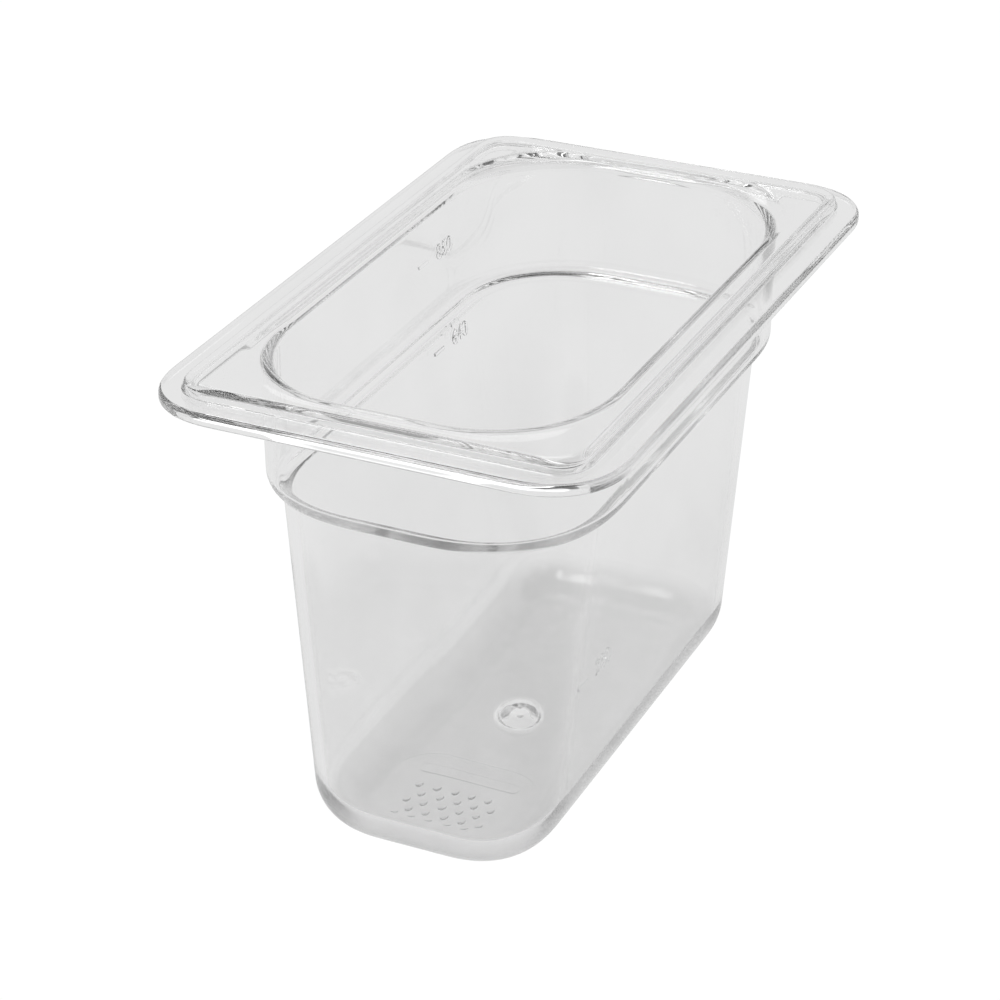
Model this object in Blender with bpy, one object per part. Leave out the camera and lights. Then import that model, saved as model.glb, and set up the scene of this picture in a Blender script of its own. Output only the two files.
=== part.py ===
"""A one-ninth size food pan in clear polycarbonate, moulded in one piece.

The long side lies along X and the short side along Y. The origin is the centre of the underside, and the
rim is at the top. The skin is a loft: one rounded rectangle after another, from the middle of the underside
up the outside, over the rim, and down the inside to the middle of the floor.
"""

import math

import bmesh
import bpy
from mathutils import Matrix, Vector

MM = 0.001

# The rim: a flat land round the mouth, and a lower ledge round the land.
RIM_LENGTH = 176 * MM
RIM_WIDTH = 108 * MM
RIM_CORNER = 18 * MM
PAN_HEIGHT = 118.2 * MM
LEDGE_WIDTH = 6.5 * MM
LEDGE_THICKNESS = 2.8 * MM
STEP_RISE = 2.6 * MM
STEP_RUN = 0.8 * MM
STEP_CORNER = 10 * MM
STEP_ROUND = 1.2 * MM
STEP_FOOT_ROUND = 0.4 * MM
EDGE_ROUND = 0.75 * MM
SKIRT_ROUND = 0.5 * MM
MOUTH_INSET = 14.8 * MM
MOUTH_CORNER = 31 * MM
MOUTH_ROUND = 3 * MM

# The walls: an upright collar, a stacking shoulder, and a tapered lower wall.
WALL = 2.3 * MM
FLOOR = 2.6 * MM
COLLAR_DRAFT = 0.3 * MM
SHOULDER_HEIGHT = 87.2 * MM
SHOULDER_WIDTH = 4.4 * MM
SHOULDER_CORNER = 24 * MM
SHOULDER_ROUND = 3.2 * MM
BASE_END_INSET = 19.6 * MM
BASE_SIDE_INSET = 24.7 * MM
BASE_CORNER = 19 * MM
BASE_ROUND = 12 * MM

# The gate, where the plastic entered the mould: a dome in the floor over a dimple in the underside.
GATE_DOME_RADIUS = 5.6 * MM
GATE_DOME_HEIGHT = 1.5 * MM
GATE_DIMPLE_RADIUS = 4.6 * MM
GATE_DIMPLE_DEPTH = 1.3 * MM

# Level marks: short raised bars on the inside of the long walls.
MARK_LENGTH = 5 * MM
MARK_WIDTH = 0.8 * MM
MARK_RELIEF = 0.35 * MM
MARK_ROOT = 0.8 * MM
# Each is a side (-1 or +1 along Y), a distance along X and a height.
MARKS = (
    (-1, -24 * MM, 105 * MM),
    (-1, -22 * MM, 84 * MM),
    (1, 41.5 * MM, 41.5 * MM),
)

# How finely the skin is divided.
CORNER_STEPS = 8
SMALL_STEPS = 3
LARGE_STEPS = 8
TOUCHING = 0.001 * MM

PLASTIC_COLOUR = (0.93, 0.94, 0.94, 1.0)
PLASTIC_ROUGHNESS = 0.08


def clear_scene():
    for thing in list(bpy.data.objects):
        bpy.data.objects.remove(thing)


def polycarbonate():
    """Clear polycarbonate, with a trace of grey."""
    material = bpy.data.materials.new("clear_polycarbonate")
    material.use_nodes = True
    shader = material.node_tree.nodes["Principled BSDF"]
    shader.inputs["Base Color"].default_value = PLASTIC_COLOUR
    shader.inputs["Roughness"].default_value = PLASTIC_ROUGHNESS
    shader.inputs["Metallic"].default_value = 0.0
    shader.inputs["Transmission Weight"].default_value = 0.9
    shader.inputs["IOR"].default_value = 1.58
    material.diffuse_color = PLASTIC_COLOUR
    return material


def outline(end_inset, side_inset, corner, height):
    """One level of the pan: how far it lies inside the rim's edge at the ends and the sides, and its corner."""
    return Vector((RIM_LENGTH / 2 - end_inset, RIM_WIDTH / 2 - side_inset, corner, height))


def disc(radius, height):
    """A level that is a circle round the middle, with corners a hair short of meeting."""
    return Vector((radius, radius, radius * 0.98, height))


def outside_levels():
    """The outside, from the dimple in the underside up to the ledge's upper edge.

    Each item is a level, the radius that rounds the section there, and the steps in that rounding.
    """
    ledge_top = PAN_HEIGHT - STEP_RISE
    ledge_under = ledge_top - LEDGE_THICKNESS
    land_under = PAN_HEIGHT - WALL
    collar = MOUTH_INSET - WALL
    foot_end = BASE_END_INSET + BASE_ROUND
    foot_side = BASE_SIDE_INSET + BASE_ROUND
    shoulder = collar + COLLAR_DRAFT
    lower = shoulder + SHOULDER_WIDTH
    skirt = LEDGE_WIDTH + STEP_RUN + WALL * 0.8
    skirt_corner = STEP_CORNER - WALL
    return [
        (disc(GATE_DIMPLE_RADIUS, 0), 0, 1),
        (outline(foot_end, foot_side, BASE_CORNER - BASE_ROUND, 0), 0, 1),
        (outline(BASE_END_INSET, BASE_SIDE_INSET, BASE_CORNER, 0), BASE_ROUND, LARGE_STEPS),
        (
            outline(lower, lower, SHOULDER_CORNER, SHOULDER_HEIGHT),
            SHOULDER_ROUND - WALL,
            SMALL_STEPS,
        ),
        (outline(shoulder, shoulder, MOUTH_CORNER, SHOULDER_HEIGHT), SHOULDER_ROUND, SMALL_STEPS),
        (outline(collar, collar, MOUTH_CORNER, land_under), MOUTH_ROUND - WALL, SMALL_STEPS),
        (outline(skirt, skirt, skirt_corner, land_under), SKIRT_ROUND, SMALL_STEPS),
        (outline(skirt, skirt, skirt_corner, ledge_under), SKIRT_ROUND, SMALL_STEPS),
        (outline(0, 0, RIM_CORNER, ledge_under), EDGE_ROUND, SMALL_STEPS),
        (outline(0, 0, RIM_CORNER, ledge_top), EDGE_ROUND, SMALL_STEPS),
    ]


def inside_levels():
    """The step, the land and the inside, from the ledge down to the foot of the dome in the floor."""
    ledge_top = PAN_HEIGHT - STEP_RISE
    step = LEDGE_WIDTH + STEP_RUN
    shelf = SHOULDER_HEIGHT + WALL
    collar = MOUTH_INSET + COLLAR_DRAFT
    wall = collar + SHOULDER_WIDTH
    base_end = BASE_END_INSET + WALL
    base_side = BASE_SIDE_INSET + WALL
    base_corner = BASE_CORNER - WALL
    base_round = BASE_ROUND - WALL
    return [
        (outline(LEDGE_WIDTH, LEDGE_WIDTH, STEP_CORNER, ledge_top), STEP_FOOT_ROUND, SMALL_STEPS),
        (outline(step, step, STEP_CORNER - STEP_RUN, PAN_HEIGHT), STEP_ROUND, SMALL_STEPS),
        (outline(MOUTH_INSET, MOUTH_INSET, MOUTH_CORNER, PAN_HEIGHT), MOUTH_ROUND, LARGE_STEPS),
        (outline(collar, collar, MOUTH_CORNER - WALL, shelf), SHOULDER_ROUND - WALL, SMALL_STEPS),
        (outline(wall, wall, SHOULDER_CORNER - WALL, shelf), SHOULDER_ROUND, SMALL_STEPS),
        (outline(base_end, base_side, base_corner, FLOOR), base_round, LARGE_STEPS),
        (outline(base_end + base_round, base_side + base_round, base_corner - base_round, FLOOR), 0, 1),
        (disc(GATE_DOME_RADIUS, FLOOR), 0, 1),
    ]


def section_step(one, other):
    """The way from one level to another, in the upright section along the length."""
    return Vector((other[0] - one[0], other[3] - one[3]))


def extend(path, level):
    """Adds a level, unless the path already ends there."""
    if not path or (level - path[-1]).length > TOUCHING:
        path.append(level)


def rounded(levels):
    """The levels with each corner of the section made an arc, as a list of outlines."""
    path = []
    for i, (level, radius, steps) in enumerate(levels):
        if radius == 0:
            extend(path, level)
            continue
        before, after = levels[i - 1][0], levels[i + 1][0]
        coming, going = section_step(before, level), section_step(level, after)
        half_turn = coming.angle(going) / 2
        setback = radius * math.tan(half_turn)
        start = level.lerp(before, min(setback / coming.length, 1))
        end = level.lerp(after, min(setback / going.length, 1))
        weight = math.cos(half_turn)
        for step in range(steps + 1):
            t = step / steps
            shares = (1 - t) ** 2, 2 * t * (1 - t) * weight, t**2
            point = start * shares[0] + level * shares[1] + end * shares[2]
            extend(path, point / sum(shares))
    return path


def dome(radius, floor, rise, steps):
    """Circles up a low dome or, with a negative rise, down a dimple, from the rim to near the middle."""
    circles = []
    for step in range(steps):
        turn = math.pi / 2 * step / steps
        circles.append(disc(radius * math.cos(turn), floor + rise * math.sin(turn)))
    return circles


def ring_points(level):
    """The points of one outline, anticlockwise from the +X side."""
    half_length, half_width, corner, height = level
    points = []
    for quarter in range(4):
        side_x = 1 if quarter in (0, 3) else -1
        side_y = 1 if quarter in (0, 1) else -1
        for step in range(CORNER_STEPS + 1):
            turn = math.pi / 2 * (quarter + step / CORNER_STEPS)
            x = side_x * (half_length - corner) + corner * math.cos(turn)
            y = side_y * (half_width - corner) + corner * math.sin(turn)
            points.append(Vector((x, y, height)))
    return points


def loft(mesh, levels, bottom, top):
    """Skins the levels in order and closes both ends with a fan to a middle point."""
    rings = [[mesh.verts.new(point) for point in ring_points(level)] for level in levels]
    for lower, upper in zip(rings, rings[1:]):
        for i in range(len(lower)):
            j = (i + 1) % len(lower)
            mesh.faces.new((lower[i], lower[j], upper[j], upper[i]))
    for ring, middle in ((rings[0], bottom), (rings[-1], top)):
        centre = mesh.verts.new(middle)
        for i in range(len(ring)):
            mesh.faces.new((ring[i], ring[(i + 1) % len(ring)], centre))
    bmesh.ops.recalc_face_normals(mesh, faces=mesh.faces)


def pan_skin():
    mesh = bmesh.new()
    dimple = dome(GATE_DIMPLE_RADIUS, 0, GATE_DIMPLE_DEPTH, SMALL_STEPS + 1)
    boss = dome(GATE_DOME_RADIUS, FLOOR, GATE_DOME_HEIGHT, SMALL_STEPS + 1)
    levels = rounded(outside_levels() + inside_levels())
    levels = dimple[:0:-1] + levels + boss[1:]
    loft(
        mesh,
        levels,
        Vector((0, 0, GATE_DIMPLE_DEPTH)),
        Vector((0, 0, FLOOR + GATE_DOME_HEIGHT)),
    )
    return mesh


def inner_half_width(height):
    """How far from the middle the inside of a long wall stands at this height."""
    shelf = SHOULDER_HEIGHT + WALL
    collar = RIM_WIDTH / 2 - MOUTH_INSET
    if height > shelf:
        return collar - COLLAR_DRAFT * (PAN_HEIGHT - height) / (PAN_HEIGHT - shelf)
    top = collar - COLLAR_DRAFT - SHOULDER_WIDTH
    bottom = RIM_WIDTH / 2 - BASE_SIDE_INSET - WALL
    return bottom + (top - bottom) * (height - FLOOR) / (shelf - FLOOR)


def level_mark(name, side, along, height):
    """A bar rooted in the inside of a long wall, as a helper that a union joins to the pan."""
    depth = MARK_RELIEF + MARK_ROOT
    face = inner_half_width(height)
    middle = Vector((along, side * (face - MARK_RELIEF + depth / 2), height))
    mesh = bmesh.new()
    size = Matrix.Diagonal((MARK_LENGTH, depth, MARK_WIDTH, 1))
    bmesh.ops.create_cube(mesh, size=1, matrix=Matrix.Translation(middle) @ size)
    return helper_object(name, mesh)


def helper_object(name, mesh):
    data = bpy.data.meshes.new(name)
    mesh.to_mesh(data)
    mesh.free()
    thing = bpy.data.objects.new(name, data)
    bpy.context.scene.collection.objects.link(thing)
    thing.hide_render = True
    thing.display_type = "WIRE"
    return thing


def pan_body(material):
    data = bpy.data.meshes.new("pan_body")
    mesh = pan_skin()
    mesh.to_mesh(data)
    mesh.free()
    data.materials.append(material)
    pan = bpy.data.objects.new("pan_body", data)
    bpy.context.scene.collection.objects.link(pan)
    for number, (side, along, height) in enumerate(MARKS, start=1):
        name = f"level_mark_{number}"
        union = pan.modifiers.new(name, "BOOLEAN")
        union.operation = "UNION"
        union.object = level_mark(name, side, along, height)
    data.shade_smooth()
    data.set_sharp_from_angle(angle=math.radians(40))
    return pan


def build():
    clear_scene()
    pan_body(polycarbonate())


build()
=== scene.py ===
"""A one-ninth size food pan in clear polycarbonate, standing on a light table.

The pan is one injection moulding, so it is one piece here. Its long side lies along X, its short side along
Y, and its underside is at height 0.
"""

import math

import bmesh
import bpy
from mathutils import Matrix, Vector


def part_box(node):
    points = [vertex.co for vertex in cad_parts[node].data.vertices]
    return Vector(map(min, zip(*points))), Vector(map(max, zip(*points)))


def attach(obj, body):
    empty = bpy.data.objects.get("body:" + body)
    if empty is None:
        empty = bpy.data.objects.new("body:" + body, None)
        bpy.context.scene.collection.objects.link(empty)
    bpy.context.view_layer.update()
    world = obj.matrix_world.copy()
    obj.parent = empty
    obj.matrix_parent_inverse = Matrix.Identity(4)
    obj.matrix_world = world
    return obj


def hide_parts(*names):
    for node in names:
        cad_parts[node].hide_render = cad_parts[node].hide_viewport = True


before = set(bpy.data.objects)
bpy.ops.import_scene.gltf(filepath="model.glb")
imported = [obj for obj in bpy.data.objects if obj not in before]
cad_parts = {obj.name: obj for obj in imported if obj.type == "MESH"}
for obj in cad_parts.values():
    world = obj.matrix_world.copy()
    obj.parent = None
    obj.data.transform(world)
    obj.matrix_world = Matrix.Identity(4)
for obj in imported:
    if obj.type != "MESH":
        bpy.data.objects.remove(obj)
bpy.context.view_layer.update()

# ---------------------------------------------------------------------------------------------------------
# The pan's skin. One closed shell of clear polycarbonate, injection moulded in one shot: a flat rim with a
# lower ledge round it, an upright collar, a stacking shoulder and a tapered body with a flat floor.
# Its section is a row of rounded rectangles, and the skin passes through each one in turn.
# ---------------------------------------------------------------------------------------------------------
MM = 0.001
low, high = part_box("pan_body")
RIM_LENGTH = high[0] - low[0]
RIM_WIDTH = high[1] - low[1]
RIM_CORNER = 18 * MM
PAN_HEIGHT = high[2] - low[2]
WALL = 2.3 * MM
FLOOR = 2.6 * MM

# The ledge runs round the rim, a step below the land, which is the flat round the mouth.
LEDGE_WIDTH = 6.5 * MM
LEDGE_THICKNESS = 2.8 * MM
EDGE_ROUND = 0.75 * MM
UPPER_EDGE_ROUND = 1.35 * MM
STEP_RISE = 2.6 * MM
STEP_RUN = 0.8 * MM
STEP_CORNER = 7.5 * MM
STEP_ROUND = 1.2 * MM
STEP_FOOT_ROUND = 0.4 * MM

# Under the rim the skirt backs the step. It is a little thinner than the walls.
SKIRT_SHARE = 0.8
SKIRT_ROUND = 0.5 * MM

MOUTH_INSET = 14.8 * MM
MOUTH_CORNER = 31 * MM
MOUTH_ROUND = 3.0 * MM
COLLAR_DRAFT = 0.3 * MM
SHOULDER_HEIGHT = 87.2 * MM
SHOULDER_WIDTH = 4.4 * MM
SHOULDER_CORNER = 24 * MM
SHOULDER_ROUND = 3.2 * MM
BASE_END_INSET = 19.6 * MM
BASE_SIDE_INSET = 24.7 * MM
BASE_CORNER = 19 * MM
BASE_ROUND = 12 * MM
INSIDE_BASE_ROUND = 11.5 * MM

# The gate, where the plastic entered the mould: a dome with a pip on it, over a dimple in the underside.
# A flat share says how much of a radius its flat takes up.
GATE_DOME_RADIUS = 7 * MM
GATE_DOME_HEIGHT = 1.8 * MM
GATE_DOME_FLAT_SHARE = 0.6
GATE_DOME_ROUND = 4.5 * MM
GATE_DOME_FOOT_ROUND = 1.5 * MM
GATE_PIP_RADIUS = 0.55 * MM
GATE_PIP_HEIGHT = 0.35 * MM
GATE_PIP_ROUND = 0.2 * MM
GATE_PIP_FOOT_ROUND = 0.15 * MM
GATE_DIMPLE_RADIUS = 4.6 * MM
GATE_DIMPLE_DEPTH = 1.3 * MM
GATE_DIMPLE_FLAT_SHARE = 0.5
GATE_DIMPLE_ROUND = 3 * MM
GATE_DIMPLE_FOOT_ROUND = 1 * MM

# How finely a rounding is divided, and how close to it the flat next to it begins.
ROUNDING_STEPS = 16
CORNER_STEPS = 26
FLAT_MARGIN = 0.35 * MM

# Levels, or points of the skin, that are closer together than this are made one.
SAME_LEVEL = 0.002 * MM
SAME_POINT = 0.001 * MM

# A corner seen from above is a little fuller than an arc, so that it runs softly into the straight sides.
# This fades out where a level's straight run gets shorter than the run given here.
CORNER_BLEND = 0.35
CORNER_BLEND_RUN = 4 * MM
CORNER_GROWTH = 0.42


def outline(end_inset, side_inset, corner, height):
    """A level of the pan: its inset from the rim's edge at the ends and the sides, and its corner."""
    return Vector((RIM_LENGTH / 2 - end_inset, RIM_WIDTH / 2 - side_inset, corner, height))


def disc(radius, height):
    """A level that is a circle round the middle."""
    return Vector((radius, radius, radius, height))


def outside_levels():
    """The underside and the outside, up to the ledge's upper edge: each level and its rounding's radius."""
    ledge_top = PAN_HEIGHT - STEP_RISE
    ledge_under = ledge_top - LEDGE_THICKNESS
    land_under = PAN_HEIGHT - WALL
    collar = MOUTH_INSET - WALL
    foot_end = BASE_END_INSET + BASE_ROUND
    foot_side = BASE_SIDE_INSET + BASE_ROUND
    shoulder = collar + COLLAR_DRAFT
    lower = shoulder + SHOULDER_WIDTH
    skirt = LEDGE_WIDTH + STEP_RUN + WALL * SKIRT_SHARE
    skirt_corner = STEP_CORNER - WALL
    return [
        (disc(0, GATE_DIMPLE_DEPTH), 0),
        (disc(GATE_DIMPLE_RADIUS * GATE_DIMPLE_FLAT_SHARE, GATE_DIMPLE_DEPTH), GATE_DIMPLE_ROUND),
        (disc(GATE_DIMPLE_RADIUS, 0), GATE_DIMPLE_FOOT_ROUND),
        (outline(foot_end, foot_side, BASE_CORNER - BASE_ROUND, 0), 0),
        (outline(BASE_END_INSET, BASE_SIDE_INSET, BASE_CORNER, 0), BASE_ROUND),
        (outline(lower, lower, SHOULDER_CORNER, SHOULDER_HEIGHT), SHOULDER_ROUND - WALL),
        (outline(shoulder, shoulder, MOUTH_CORNER, SHOULDER_HEIGHT), SHOULDER_ROUND),
        (outline(collar, collar, MOUTH_CORNER, land_under), MOUTH_ROUND - WALL),
        (outline(skirt, skirt, skirt_corner, land_under), SKIRT_ROUND),
        (outline(skirt, skirt, skirt_corner, ledge_under), SKIRT_ROUND),
        (outline(0, 0, RIM_CORNER, ledge_under), EDGE_ROUND),
        (outline(0, 0, RIM_CORNER, ledge_top), UPPER_EDGE_ROUND),
    ]


def inside_levels():
    """The step, the land and the inside, down to the pip on the floor's dome, in the same form."""
    ledge_top = PAN_HEIGHT - STEP_RISE
    step = LEDGE_WIDTH + STEP_RUN
    shelf = SHOULDER_HEIGHT + WALL
    collar = MOUTH_INSET + COLLAR_DRAFT
    wall = collar + SHOULDER_WIDTH
    end = BASE_END_INSET + WALL
    side = BASE_SIDE_INSET + WALL
    corner = BASE_CORNER - WALL
    rounding = INSIDE_BASE_ROUND
    dome_top = FLOOR + GATE_DOME_HEIGHT
    return [
        (outline(LEDGE_WIDTH, LEDGE_WIDTH, STEP_CORNER, ledge_top), STEP_FOOT_ROUND),
        (outline(step, step, STEP_CORNER - STEP_RUN, PAN_HEIGHT), STEP_ROUND),
        (outline(MOUTH_INSET, MOUTH_INSET, MOUTH_CORNER, PAN_HEIGHT), MOUTH_ROUND),
        (outline(collar, collar, MOUTH_CORNER - WALL, shelf), SHOULDER_ROUND - WALL),
        (outline(wall, wall, SHOULDER_CORNER - WALL, shelf), SHOULDER_ROUND),
        (outline(end, side, corner, FLOOR), rounding),
        (outline(end + rounding, side + rounding, corner - rounding, FLOOR), 0),
        (disc(GATE_DOME_RADIUS, FLOOR), GATE_DOME_FOOT_ROUND),
        (disc(GATE_DOME_RADIUS * GATE_DOME_FLAT_SHARE, dome_top), GATE_DOME_ROUND),
        (disc(GATE_PIP_RADIUS, dome_top), GATE_PIP_FOOT_ROUND),
        (disc(GATE_PIP_RADIUS, dome_top + GATE_PIP_HEIGHT), GATE_PIP_ROUND),
        (disc(0, dome_top + GATE_PIP_HEIGHT), 0),
    ]


def section_step(one, other):
    """The way from one level to another in the upright section along the length."""
    return Vector((other[0] - one[0], other[3] - one[3]))


def extend(path, level):
    """Adds a level, unless the path already ends there."""
    if not path or (level - path[-1]).length > SAME_LEVEL:
        path.append(level)


def rounded(levels):
    """The levels with each corner of the section made an arc, and a level close to each end of an arc."""
    path = []
    for i, (level, radius) in enumerate(levels):
        if radius == 0:
            extend(path, level)
            continue
        before, after = levels[i - 1][0], levels[i + 1][0]
        coming, going = section_step(before, level), section_step(level, after)
        half_turn = coming.angle(going) / 2
        setback = radius * math.tan(half_turn)
        weight = math.cos(half_turn)
        start = level.lerp(before, min(setback / coming.length, 1))
        end = level.lerp(after, min(setback / going.length, 1))
        if setback + FLAT_MARGIN < coming.length:
            extend(path, level.lerp(before, (setback + FLAT_MARGIN) / coming.length))
        for step in range(ROUNDING_STEPS + 1):
            t = step / ROUNDING_STEPS
            shares = (1 - t) ** 2, 2 * t * (1 - t) * weight, t**2
            point = start * shares[0] + level * shares[1] + end * shares[2]
            extend(path, point / sum(shares))
        if setback + FLAT_MARGIN < going.length:
            extend(path, level.lerp(after, (setback + FLAT_MARGIN) / going.length))
    return path


def section_mesh(name, path):
    """The levels as a chain of points: half length, half width, height, and the corner as an attribute."""
    mesh = bpy.data.meshes.new(name)
    points = [(level[0], level[1], level[3]) for level in path]
    mesh.from_pydata(points, [(i, i + 1) for i in range(len(points) - 1)], [])
    corner = mesh.attributes.new("corner", "FLOAT", "POINT")
    corner.data.foreach_set("value", [level[2] for level in path])
    return mesh


class TreeMaker:
    """Short ways to add and join the nodes of a tree."""

    def __init__(self, tree):
        self.tree = tree

    def socket(self, name, kind, way="INPUT"):
        self.tree.interface.new_socket(name, in_out=way, socket_type=kind)

    def add(self, kind, **settings):
        node = self.tree.nodes.new(kind)
        for key, value in settings.items():
            setattr(node, key, value)
        return node

    def join(self, source, target):
        """Feeds a node socket, or sets a plain number."""
        if hasattr(source, "is_output"):
            self.tree.links.new(source, target)
        else:
            target.default_value = source

    def math(self, operation, *values, clamp=False):
        node = self.add("ShaderNodeMath", operation=operation, use_clamp=clamp)
        for socket, value in zip(node.inputs, values):
            self.join(value, socket)
        return node.outputs[0]


def skin_tree():
    """Turns a chain of levels into a closed skin, with the same number of points round every level."""
    make = TreeMaker(bpy.data.node_groups.new("moulded_skin", "GeometryNodeTree"))
    make.socket("Geometry", "NodeSocketGeometry", "OUTPUT")
    make.socket("Geometry", "NodeSocketGeometry")
    make.socket("Corner steps", "NodeSocketInt")
    make.socket("Flat margin", "NodeSocketFloat")
    make.socket("Blend", "NodeSocketFloat")
    make.socket("Blend run", "NodeSocketFloat")
    make.socket("Finish", "NodeSocketMaterial")
    given = make.add("NodeGroupInput").outputs
    steps = given["Corner steps"]

    # One row of a grid for each level. A quarter of a row is a corner with a point of flat at each end.
    count = make.add("GeometryNodeAttributeDomainSize", component="MESH")
    make.join(given["Geometry"], count.inputs["Geometry"])
    quarter = make.math("ADD", steps, 3)
    around = make.math("MULTIPLY", quarter, 4)
    columns = make.math("ADD", around, 1)
    grid = make.add("GeometryNodeMeshGrid")
    make.join(count.outputs["Point Count"], grid.inputs["Vertices X"])
    make.join(columns, grid.inputs["Vertices Y"])

    index = make.add("GeometryNodeInputIndex").outputs[0]
    row = make.math("FLOOR", make.math("DIVIDE", make.math("ADD", index, 0.5), columns))
    column = make.math("SUBTRACT", index, make.math("MULTIPLY", row, columns))
    column = make.math("MODULO", column, around)
    side = make.math("FLOOR", make.math("DIVIDE", make.math("ADD", column, 0.5), quarter))
    place = make.math("SUBTRACT", column, make.math("MULTIPLY", side, quarter))

    # Each point reads the sizes of its level.
    sampled = []
    position = make.add("GeometryNodeInputPosition").outputs[0]
    corner_name = make.add("GeometryNodeInputNamedAttribute", data_type="FLOAT")
    corner_name.inputs["Name"].default_value = "corner"
    for value, kind in ((position, "FLOAT_VECTOR"), (corner_name.outputs["Attribute"], "FLOAT")):
        sample = make.add("GeometryNodeSampleIndex", data_type=kind, domain="POINT")
        make.join(given["Geometry"], sample.inputs["Geometry"])
        make.join(value, sample.inputs["Value"])
        make.join(row, sample.inputs["Index"])
        sampled.append(sample.outputs["Value"])
    split = make.add("ShaderNodeSeparateXYZ")
    make.join(sampled[0], split.inputs[0])
    half_length, half_width, height = split.outputs
    corner_radius = sampled[1]

    # A corner that ends in a straight run blends into it. A full circle has no run, and stays a circle.
    run = make.math("SUBTRACT", make.math("MINIMUM", half_length, half_width), corner_radius)
    share = make.math("MINIMUM", make.math("DIVIDE", run, given["Blend run"]), 1)
    blend = make.math("MULTIPLY", share, given["Blend"])
    power = make.math("DIVIDE", 2, make.math("ADD", blend, 2))
    growth = make.math("ADD", make.math("MULTIPLY", blend, CORNER_GROWTH), 1)
    radius = make.math("MULTIPLY", corner_radius, growth)

    # The point's bearing, and how far it lies past the corner on the flat, before it or after it.
    part = make.math("DIVIDE", make.math("SUBTRACT", place, 1), steps)
    part = make.math("MAXIMUM", make.math("MINIMUM", part, 1), 0)
    turn = make.math("MULTIPLY", make.math("ADD", side, part), math.pi / 2)
    middle = make.math("MULTIPLY", make.math("ADD", side, 0.5), math.pi / 2)
    sine, cosine = make.math("SINE", turn), make.math("COSINE", turn)
    eased = []
    for value in (cosine, sine):
        size = make.math("POWER", make.math("ABSOLUTE", value), power)
        eased.append(make.math("MULTIPLY", make.math("SIGN", value), size))
    run_length = make.math("SUBTRACT", half_length, radius)
    run_width = make.math("SUBTRACT", half_width, radius)
    after = make.math("MAXIMUM", make.math("SUBTRACT", place, make.math("ADD", steps, 1)), 0)
    before = make.math("MAXIMUM", make.math("SUBTRACT", 1, place), 0)
    room = make.math("MULTIPLY", make.math("MINIMUM", run_length, run_width), 0.5)
    margin = make.math("MINIMUM", given["Flat margin"], room)
    shift = make.math("MULTIPLY", make.math("SUBTRACT", after, before), margin)

    along = make.math("MULTIPLY", make.math("SIGN", make.math("COSINE", middle)), run_length)
    along = make.math("ADD", along, make.math("MULTIPLY", radius, eased[0]))
    along = make.math("SUBTRACT", along, make.math("MULTIPLY", shift, sine))
    across = make.math("MULTIPLY", make.math("SIGN", make.math("SINE", middle)), run_width)
    across = make.math("ADD", across, make.math("MULTIPLY", radius, eased[1]))
    across = make.math("ADD", across, make.math("MULTIPLY", shift, cosine))
    joined = make.add("ShaderNodeCombineXYZ")
    for value, socket in zip((along, across, height), joined.inputs):
        make.join(value, socket)

    # The grid's two ends meet, and its first and last rows shrink to points, so merging closes the skin.
    place_points = make.add("GeometryNodeSetPosition")
    make.join(grid.outputs["Mesh"], place_points.inputs["Geometry"])
    make.join(joined.outputs[0], place_points.inputs["Position"])
    merge = make.add("GeometryNodeMergeByDistance")
    make.join(place_points.outputs[0], merge.inputs["Geometry"])
    merge.inputs["Distance"].default_value = SAME_POINT
    smooth = make.add("GeometryNodeSetShadeSmooth")
    make.join(merge.outputs[0], smooth.inputs["Geometry"])
    real = make.add("GeometryNodeRealizeInstances")
    make.join(smooth.outputs[0], real.inputs[0])
    finish = make.add("GeometryNodeSetMaterial")
    make.join(real.outputs[0], finish.inputs["Geometry"])
    make.join(given["Finish"], finish.inputs["Material"])
    result = make.add("NodeGroupOutput")
    make.join(finish.outputs[0], result.inputs[0])
    return make.tree


def apply_tree(thing, tree, name, **inputs):
    """Runs a tree on an object and leaves its result there as a plain mesh."""
    modifier = thing.modifiers.new(name, "NODES")
    modifier.node_group = tree
    for item in tree.interface.items_tree:
        key = item.name.replace(" ", "_").lower()
        if item.in_out == "INPUT" and key in inputs:
            modifier[item.identifier] = inputs[key]
    graph = bpy.context.evaluated_depsgraph_get()
    mesh = bpy.data.meshes.new_from_object(thing.evaluated_get(graph))
    mesh.name = name
    thing.modifiers.clear()
    thing.data = mesh


def add_object(name, mesh):
    thing = bpy.data.objects.new(name, mesh)
    bpy.context.scene.collection.objects.link(thing)
    return thing


PLASTIC_IOR = 1.58

# The floor is a shade greyer than the walls, and satin. Both fade out a little above the floor.
# The grey is partly haze and partly painted shadow: the pan's contact shadow on the table under it.
WALL_CLEARNESS = 0.985
FLOOR_HAZE_AND_SHADOW_TONE = 0.76
WALL_ROUGHNESS = 0.02
FLOOR_ROUGHNESS = 0.16
RIPPLE_HEIGHT = 0.3 * MM
SATIN_AND_SHADOW_FULL = 4.5 * MM
SATIN_AND_SHADOW_END = 10.5 * MM
CLEAR_GATE_MARGIN = 1 * MM
MOTTLE_SCALE = 160
MOTTLE_DETAIL = 3
MOTTLE_SWING = 0.05

# The long walls are a little grey too, from the shoulder down, and all walls have faint large patches.
LONG_WALL_CLEARNESS = 0.93
LONG_WALL_START = 20 * MM
LONG_WALL_FULL = 29 * MM
WALL_GREY_TOP = 80 * MM
WALL_GREY_FULL = 40 * MM
PATCH_SCALE = 45
PATCH_DETAIL = 2
PATCH_TONES = (0.965, 1.045)


def noise(make, place, scale, detail):
    texture = make.add("ShaderNodeTexNoise")
    make.join(place, texture.inputs["Vector"])
    make.join(scale, texture.inputs["Scale"])
    make.join(detail, texture.inputs["Detail"])
    return texture.outputs[0]


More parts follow.
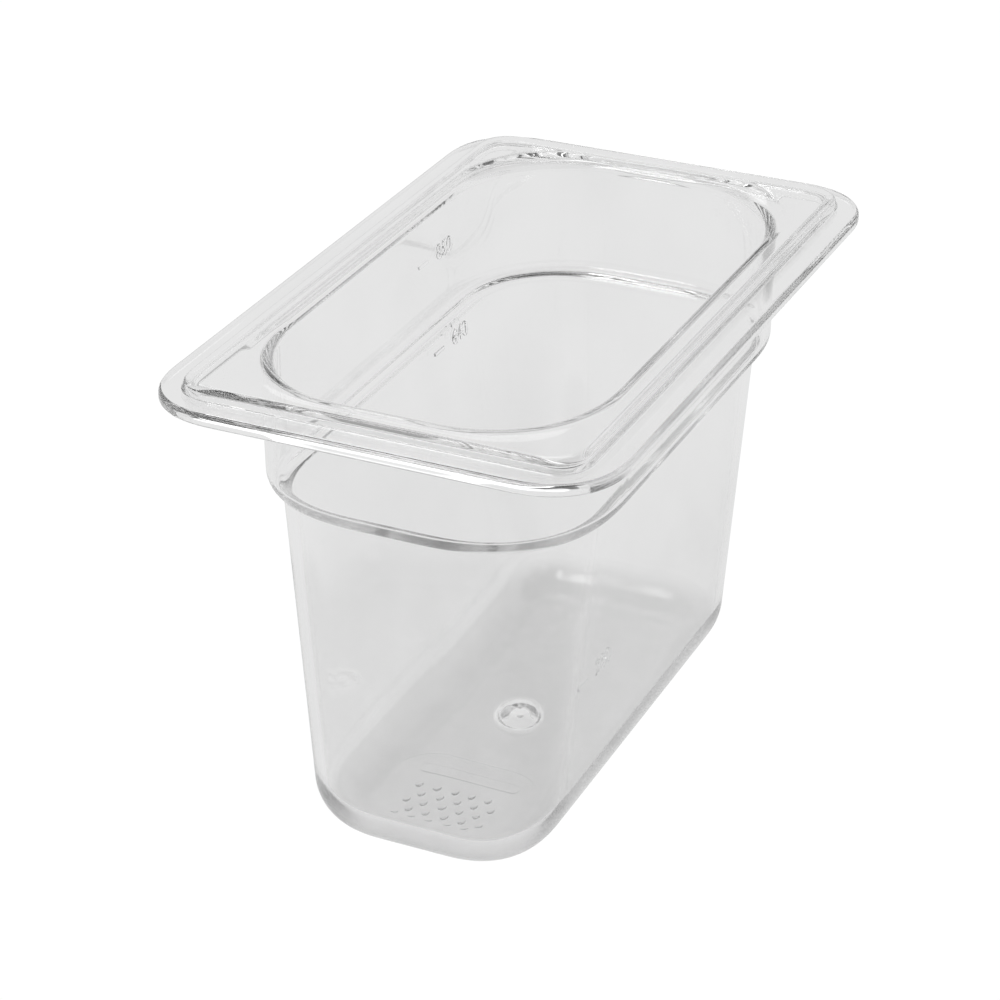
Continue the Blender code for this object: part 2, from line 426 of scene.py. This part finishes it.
def remap(make, value, given=(0, 1), wanted=(0, 1), kind="LINEAR"):
    """Turns a value between two limits into one between two others."""
    node = make.add("ShaderNodeMapRange", interpolation_type=kind)
    make.join(value, node.inputs["Value"])
    for name, limit in zip(("From Min", "From Max", "To Min", "To Max"), (*given, *wanted)):
        make.join(limit, node.inputs[name])
    return node.outputs["Result"]


def clear_polycarbonate():
    """Clear plastic, polished on the walls. The floor is satin and a shade greyer, partly painted shadow,
    with a soft mottle.
    """
    material = bpy.data.materials.new("clear_polycarbonate")
    material.use_nodes = True
    make = TreeMaker(material.node_tree)
    shader = material.node_tree.nodes["Principled BSDF"]
    shader.inputs["Metallic"].default_value = 0.0
    shader.inputs["Transmission Weight"].default_value = 1.0
    shader.inputs["IOR"].default_value = PLASTIC_IOR
    place = make.add("ShaderNodeTexCoord").outputs["Object"]
    split = make.add("ShaderNodeSeparateXYZ")
    make.join(place, split.inputs[0])
    height = split.outputs["Z"]

    # Satin, and painted shadow, low down, except on the gate's dome, which is left clear.
    low_down = remap(make, height, (SATIN_AND_SHADOW_END, SATIN_AND_SHADOW_FULL), kind="SMOOTHSTEP")
    flat = make.add("ShaderNodeVectorMath", operation="MULTIPLY")
    make.join(place, flat.inputs[0])
    make.join((1, 1, 0), flat.inputs[1])
    reach = make.add("ShaderNodeVectorMath", operation="LENGTH")
    make.join(flat.outputs["Vector"], reach.inputs[0])
    round_gate = (GATE_DOME_RADIUS, GATE_DOME_RADIUS + CLEAR_GATE_MARGIN)
    satin_and_shadow = remap(make, reach.outputs["Value"], round_gate, (0, low_down))

    mottle = noise(make, place, MOTTLE_SCALE, MOTTLE_DETAIL)
    floor_tones = (FLOOR_HAZE_AND_SHADOW_TONE - MOTTLE_SWING, FLOOR_HAZE_AND_SHADOW_TONE + MOTTLE_SWING)
    floor_tone = remap(make, mottle, wanted=floor_tones)

    across = make.math("ABSOLUTE", split.outputs["Y"])
    long_wall = remap(make, across, (LONG_WALL_START, LONG_WALL_FULL), kind="SMOOTHSTEP")
    wall_heights = (WALL_GREY_TOP, WALL_GREY_FULL)
    down_wall = remap(make, height, wall_heights, (0, long_wall), kind="SMOOTHSTEP")
    wall_grey = remap(make, down_wall, wanted=(WALL_CLEARNESS, LONG_WALL_CLEARNESS))
    swirl = noise(make, place, PATCH_SCALE, PATCH_DETAIL)
    patches = remap(make, swirl, wanted=PATCH_TONES)
    wall_tone = make.math("MULTIPLY", wall_grey, patches, clamp=True)

    # This mix paints the pan's contact shadow into the floor's colour, together with its haze.
    tone = make.add("ShaderNodeMix")
    make.join(wall_tone, tone.inputs["A"])
    make.join(floor_tone, tone.inputs["B"])
    make.join(satin_and_shadow, tone.inputs["Factor"])
    make.join(tone.outputs["Result"], shader.inputs["Base Color"])

    roughness = remap(make, satin_and_shadow, wanted=(WALL_ROUGHNESS, FLOOR_ROUGHNESS))
    make.join(roughness, shader.inputs["Roughness"])

    ripple = make.add("ShaderNodeBump")
    make.join(satin_and_shadow, ripple.inputs["Strength"])
    make.join(RIPPLE_HEIGHT, ripple.inputs["Distance"])
    make.join(swirl, ripple.inputs["Height"])
    make.join(ripple.outputs["Normal"], shader.inputs["Normal"])
    return material


plastic = clear_polycarbonate()
section = rounded(outside_levels() + inside_levels())
pan = add_object("food_pan", section_mesh("pan_section", section))
apply_tree(
    pan,
    skin_tree(),
    "food_pan",
    corner_steps=CORNER_STEPS,
    flat_margin=FLAT_MARGIN,
    blend=CORNER_BLEND,
    blend_run=CORNER_BLEND_RUN,
    finish=plastic,
)
shell = bmesh.new()
shell.from_mesh(pan.data)
bmesh.ops.recalc_face_normals(shell, faces=shell.faces)
shell.to_mesh(pan.data)
shell.free()

# ---------------------------------------------------------------------------------------------------------
# The level bars stand on the inside of the long walls, each with the millilitres the pan holds up to it.
# Bars and numerals are cut into the mould's core, so they are of the pan's own plastic and part of its skin.
# ---------------------------------------------------------------------------------------------------------

# Each mark is the side of the pan, the bar's place along it, its height, and the number.
MARKS = (
    (-1, -24 * MM, 105 * MM, "850"),
    (-1, -22 * MM, 84 * MM, "640"),
    (1, 41.5 * MM, 41.5 * MM, "280"),
)
MARK_LENGTH = 5 * MM
MARK_WIDTH = 0.8 * MM
MARK_RELIEF = 0.35 * MM
NUMERAL_SIZE = 5.6 * MM
NUMERAL_RELIEF = 0.5 * MM
NUMERAL_OFFSET = 11.5 * MM
NUMERAL_CURVE_STEPS = 4

# How deep a raised detail is rooted in the plastic behind it.
RELIEF_ROOT = 0.8 * MM


def inner_half_width(height):
    """How far from the middle the inside of a long wall stands at this height."""
    shelf = SHOULDER_HEIGHT + WALL
    collar = RIM_WIDTH / 2 - MOUTH_INSET
    if height > shelf:
        return collar - COLLAR_DRAFT * (PAN_HEIGHT - height) / (PAN_HEIGHT - shelf)
    top = collar - COLLAR_DRAFT - SHOULDER_WIDTH
    bottom = RIM_WIDTH / 2 - BASE_SIDE_INSET - WALL
    return bottom + (top - bottom) * (height - FLOOR) / (shelf - FLOOR)


def add_level_bar(relief, side, along, height):
    """A plain bar, rooted in the inside of a wall."""
    depth = MARK_RELIEF + RELIEF_ROOT
    middle = side * (inner_half_width(height) - MARK_RELIEF + depth / 2)
    place = Matrix.Translation((along, middle, height))
    size = Matrix.Diagonal((MARK_LENGTH, depth, MARK_WIDTH, 1))
    bmesh.ops.create_cube(relief, size=1, matrix=place @ size)


def add_numeral(relief, text, side, along, height):
    """Upright figures, rooted in the inside of a wall, that read from the same side as all the others."""
    curve = bpy.data.curves.new("numeral_" + text, "FONT")
    curve.body = text
    curve.size = NUMERAL_SIZE
    curve.align_x = "CENTER"
    curve.align_y = "CENTER"
    curve.resolution_u = NUMERAL_CURVE_STEPS
    curve.extrude = (NUMERAL_RELIEF + RELIEF_ROOT) / 2
    letters = add_object("numeral_" + text, curve)
    graph = bpy.context.evaluated_depsgraph_get()
    mesh = bpy.data.meshes.new_from_object(letters.evaluated_get(graph))
    middle = side * (inner_half_width(height) + (RELIEF_ROOT - NUMERAL_RELIEF) / 2)
    facing = Matrix(((-1, 0, 0, along), (0, 0, 1, middle), (0, 1, 0, height), (0, 0, 0, 1)))
    mesh.transform(facing)
    relief.from_mesh(mesh)
    bpy.data.meshes.remove(mesh)
    bpy.data.objects.remove(letters)
    bpy.data.curves.remove(curve)


raised = bmesh.new()
for side, along, height, text in MARKS:
    add_level_bar(raised, side, along, height)
    add_numeral(raised, text, side, along - NUMERAL_OFFSET, height)

# ---------------------------------------------------------------------------------------------------------
# The plate in the floor is where the mould's name insert sits: a low step, a plain bar and rows of beads.
# It is moulded with the pan and stands a fraction of a millimetre above the floor.
# ---------------------------------------------------------------------------------------------------------
PLATE_MIDDLE = 42.5 * MM
PLATE_LENGTH = 35 * MM
PLATE_WIDTH = 36 * MM
PLATE_CORNER = 9 * MM
PLATE_RELIEF = 0.2 * MM
BAR_LENGTH = 26 * MM
BAR_WIDTH = 3.6 * MM
BAR_CORNER_SHARE = 0.48
BAR_OFFSET_SHARE = 0.3
BEAD_ROWS = 5
BEADS_IN_ROW = 5
BEAD_PITCH = 4.4 * MM
BEAD_OFFSET_SHARE = 0.1

# Shares of the pitch: from row to row, and a bead's radius before it is flattened to an oval.
ROW_PITCH_SHARE = 0.78
BEAD_RADIUS_SHARE = 0.22
BEAD_OVAL = (1.3, 0.9, 0.3)
BEAD_SEGMENTS = 16
BEAD_RINGS = 10


def add_slab(relief, middle, length, width, corner, low, high):
    """A flat slab with rounded corners, standing between two heights."""
    ring = []
    for side in range(4):
        for step in range(CORNER_STEPS + 1):
            turn = (side + step / CORNER_STEPS) * math.pi / 2
            bearing = (side + 0.5) * math.pi / 2
            x = middle + math.copysign(length / 2 - corner, math.cos(bearing)) + corner * math.cos(turn)
            y = math.copysign(width / 2 - corner, math.sin(bearing)) + corner * math.sin(turn)
            ring.append((x, y))
    face = relief.faces.new([relief.verts.new((x, y, low)) for x, y in ring])
    lifted = bmesh.ops.extrude_face_region(relief, geom=[face])["geom"]
    for vert in (item for item in lifted if isinstance(item, bmesh.types.BMVert)):
        vert.co.z = high


def bead_tree():
    """Rows of small oval beads on a flat, every other row moved along by half a pitch."""
    make = TreeMaker(bpy.data.node_groups.new("bead_rows", "GeometryNodeTree"))
    make.socket("Geometry", "NodeSocketGeometry", "OUTPUT")
    make.socket("Geometry", "NodeSocketGeometry")
    make.socket("Rows", "NodeSocketInt")
    make.socket("Beads", "NodeSocketInt")
    make.socket("Pitch", "NodeSocketFloat")
    make.socket("Finish", "NodeSocketMaterial")
    given = make.add("NodeGroupInput").outputs
    pitch = given["Pitch"]
    grid = make.add("GeometryNodeMeshGrid")
    long_way = make.math("MULTIPLY", make.math("SUBTRACT", given["Beads"], 1), pitch)
    row_pitch = make.math("MULTIPLY", pitch, ROW_PITCH_SHARE)
    short_way = make.math("MULTIPLY", make.math("SUBTRACT", given["Rows"], 1), row_pitch)
    make.join(short_way, grid.inputs["Size X"])
    make.join(long_way, grid.inputs["Size Y"])
    make.join(given["Rows"], grid.inputs["Vertices X"])
    make.join(given["Beads"], grid.inputs["Vertices Y"])
    index = make.add("GeometryNodeInputIndex").outputs[0]
    row = make.math("FLOOR", make.math("DIVIDE", make.math("ADD", index, 0.5), given["Beads"]))
    odd = make.math("SUBTRACT", make.math("MODULO", row, 2), 0.5)
    shift = make.add("ShaderNodeCombineXYZ")
    make.join(make.math("MULTIPLY", make.math("MULTIPLY", odd, pitch), 0.5), shift.inputs["Y"])
    moved = make.add("GeometryNodeSetPosition")
    make.join(grid.outputs["Mesh"], moved.inputs["Geometry"])
    make.join(shift.outputs[0], moved.inputs["Offset"])
    ball = make.add("GeometryNodeMeshUVSphere")
    make.join(BEAD_SEGMENTS, ball.inputs["Segments"])
    make.join(BEAD_RINGS, ball.inputs["Rings"])
    make.join(make.math("MULTIPLY", pitch, BEAD_RADIUS_SHARE), ball.inputs["Radius"])
    oval = make.add("GeometryNodeTransform")
    make.join(ball.outputs["Mesh"], oval.inputs["Geometry"])
    make.join(BEAD_OVAL, oval.inputs["Scale"])
    placed = make.add("GeometryNodeInstanceOnPoints")
    make.join(moved.outputs[0], placed.inputs["Points"])
    make.join(oval.outputs[0], placed.inputs["Instance"])
    real = make.add("GeometryNodeRealizeInstances")
    make.join(placed.outputs[0], real.inputs[0])
    finish = make.add("GeometryNodeSetMaterial")
    make.join(real.outputs[0], finish.inputs["Geometry"])
    make.join(given["Finish"], finish.inputs["Material"])
    result = make.add("NodeGroupOutput")
    make.join(finish.outputs[0], result.inputs[0])
    return make.tree


plate_top = FLOOR + PLATE_RELIEF
bar_top = plate_top + PLATE_RELIEF / 2
add_slab(raised, PLATE_MIDDLE, PLATE_LENGTH, PLATE_WIDTH, PLATE_CORNER, FLOOR - RELIEF_ROOT, plate_top)
bar_middle = PLATE_MIDDLE - PLATE_LENGTH * BAR_OFFSET_SHARE
add_slab(raised, bar_middle, BAR_WIDTH, BAR_LENGTH, BAR_WIDTH * BAR_CORNER_SHARE, FLOOR, bar_top)
beads = add_object("beads", bpy.data.meshes.new("beads"))
apply_tree(
    beads,
    bead_tree(),
    "beads",
    rows=BEAD_ROWS,
    beads=BEADS_IN_ROW,
    pitch=BEAD_PITCH,
    finish=plastic,
)
bead_middle = PLATE_MIDDLE + PLATE_LENGTH * BEAD_OFFSET_SHARE
beads.data.transform(Matrix.Translation((bead_middle, 0, plate_top)))
raised.from_mesh(beads.data)
bpy.data.objects.remove(beads)

# ---------------------------------------------------------------------------------------------------------
# The finished pan. It came out of the mould in one piece, so the raised details are joined to the shell as
# one closed skin, with creases kept only where two faces meet at a sharp angle.
# ---------------------------------------------------------------------------------------------------------
RELIEF_SAME_POINT = 0.0005 * MM
SHARP_ANGLE = math.radians(35)


def unite(body, relief):
    """Joins the relief to the body as one skin."""
    union = body.modifiers.new("relief", "BOOLEAN")
    union.operation = "UNION"
    union.solver = "EXACT"
    union.use_self = True
    union.object = relief
    graph = bpy.context.evaluated_depsgraph_get()
    mesh = bpy.data.meshes.new_from_object(body.evaluated_get(graph))
    mesh.name = body.name
    body.modifiers.clear()
    body.data = mesh
    bpy.data.objects.remove(relief)


bmesh.ops.remove_doubles(raised, verts=raised.verts, dist=RELIEF_SAME_POINT)
bmesh.ops.recalc_face_normals(raised, faces=raised.faces)
relief_mesh = bpy.data.meshes.new("relief")
raised.to_mesh(relief_mesh)
raised.free()
unite(pan, add_object("relief", relief_mesh))
pan.data.materials.clear()
pan.data.materials.append(plastic)
pan.data.shade_smooth()
pan.data.set_sharp_from_angle(angle=SHARP_ANGLE)
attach(pan, "root")
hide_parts("pan_body")

# ---------------------------------------------------------------------------------------------------------
# The light table: a plain sheet of opal acrylic, lit so evenly from below that it shows no edge behind the
# pan. It lies a hair below the pan's underside, so that the two faces don't touch.
# ---------------------------------------------------------------------------------------------------------
TABLE_SIZE = 6.0
TABLE_GAP = 0.5 * MM
TABLE_WHITE = 1.02
TABLE_THROUGH_PAN = 0.79


def opal_acrylic():
    """Lit from below. What shows through the pan is a shade less than the clean white round it."""
    material = bpy.data.materials.new("opal_acrylic")
    material.use_nodes = True
    make = TreeMaker(material.node_tree)
    shader = material.node_tree.nodes["Principled BSDF"]
    shader.inputs["Base Color"].default_value = (0, 0, 0, 1)
    shader.inputs["Roughness"].default_value = 1.0
    shader.inputs["Specular IOR Level"].default_value = 0.0
    shader.inputs["Emission Color"].default_value = (1, 1, 1, 1)
    seen_directly = make.add("ShaderNodeLightPath").outputs["Is Camera Ray"]
    strength = remap(make, seen_directly, wanted=(TABLE_THROUGH_PAN, TABLE_WHITE))
    make.join(strength, shader.inputs["Emission Strength"])
    return material


sheet = bmesh.new()
bmesh.ops.create_grid(sheet, x_segments=1, y_segments=1, size=TABLE_SIZE / 2)
for vert in sheet.verts:
    vert.co.z = -TABLE_GAP
sheet_mesh = bpy.data.meshes.new("light_table")
sheet.to_mesh(sheet_mesh)
sheet.free()
sheet_mesh.materials.append(opal_acrylic())
table = add_object("light_table", sheet_mesh)

# ---------------------------------------------------------------------------------------------------------
# The studio: walls that are dim low down, bright above that and dark overhead, and two round softboxes.
# What the plastic mirrors and bends of them makes the dark and white lines along its edges.
# ---------------------------------------------------------------------------------------------------------

# The height of a direction above the horizon (its sine), and how bright the studio is there.
LIGHT_BY_HEIGHT = ((0.0, 0.3), (0.14, 0.35), (0.24, 0.8), (0.6, 0.8), (0.69, 0.05), (1.0, 0.02))

# Each softbox is its direction from the pan, its diameter in metres, and its radiance.
SOFTBOXES = {
    "key_softbox": ((0.5, -0.27, 0.82), 0.65, 4.0),
    "side_softbox": ((-0.62, -0.38, 0.74), 0.62, 0.8),
}
LAMP_DISTANCE = 1.6

# Light passes through many faces of the pan on its way, so it may bounce this often.
LIGHT_BOUNCES = 64

world = bpy.data.worlds.new("studio")
world.use_nodes = True
make = TreeMaker(world.node_tree)
background = world.node_tree.nodes["Background"]
parts = make.add("ShaderNodeSeparateXYZ")
make.join(make.add("ShaderNodeTexCoord").outputs["Generated"], parts.inputs[0])
ramp = make.add("ShaderNodeValToRGB")
make.join(parts.outputs["Z"], ramp.inputs["Fac"])
stops = ramp.color_ramp.elements
while len(stops) < len(LIGHT_BY_HEIGHT):
    stops.new(0.5)  # put in its real place below
for stop, (height, light) in zip(stops, LIGHT_BY_HEIGHT):
    stop.position = height
    stop.color = (light, light, light, 1)
make.join(ramp.outputs["Color"], background.inputs["Color"])
background.inputs["Strength"].default_value = 1.0
bpy.context.scene.world = world


def softbox(name, direction, size, radiance):
    """A round lamp of even brightness, facing the pan. Its power is radiance times pi times its area."""
    way = Vector(direction).normalized()
    data = bpy.data.lights.new(name, "AREA")
    data.shape = "DISK"
    data.size = size
    data.energy = radiance * math.pi * math.pi * (size / 2) ** 2
    lamp = add_object(name, data)
    lamp.location = way * LAMP_DISTANCE
    lamp.rotation_euler = way.to_track_quat("Z", "Y").to_euler()


for name, (direction, size, radiance) in SOFTBOXES.items():
    softbox(name, direction, size, radiance)

scene = bpy.context.scene
scene.view_settings.view_transform = "Standard"
scene.view_settings.look = "None"
scene.cycles.max_bounces = LIGHT_BOUNCES
scene.cycles.transmission_bounces = LIGHT_BOUNCES
scene.cycles.glossy_bounces = LIGHT_BOUNCES
scene.cycles.sample_clamp_indirect = 0

# ---------------------------------------------------------------------------------------------------------
# The camera stands six pan heights away with a long lens, so perspective is mild. It looks down on
# one end and one long side, into the mouth and on to the floor.
# ---------------------------------------------------------------------------------------------------------
LENS = 110.3
SENSOR = 36.0
DISTANCE = 726.4 * MM
AZIMUTH = math.radians(114.73)
ELEVATION = math.radians(27.93)
TARGET = Vector((0.33 * MM, -7.43 * MM, 59.83 * MM))
NEAREST_SEEN = 0.01
FARTHEST_SEEN = 50

camera_data = bpy.data.cameras.new("camera")
camera_data.lens = LENS
camera_data.sensor_width = SENSOR
camera_data.clip_start = NEAREST_SEEN
camera_data.clip_end = FARTHEST_SEEN
camera = add_object("camera", camera_data)
towards = Vector(
    (
        math.sin(AZIMUTH) * math.cos(ELEVATION),
        -math.cos(AZIMUTH) * math.cos(ELEVATION),
        math.sin(ELEVATION),
    )
)
camera.location = TARGET + towards * DISTANCE
camera.rotation_euler = towards.to_track_quat("Z", "Y").to_euler()
bpy.context.scene.camera = camera
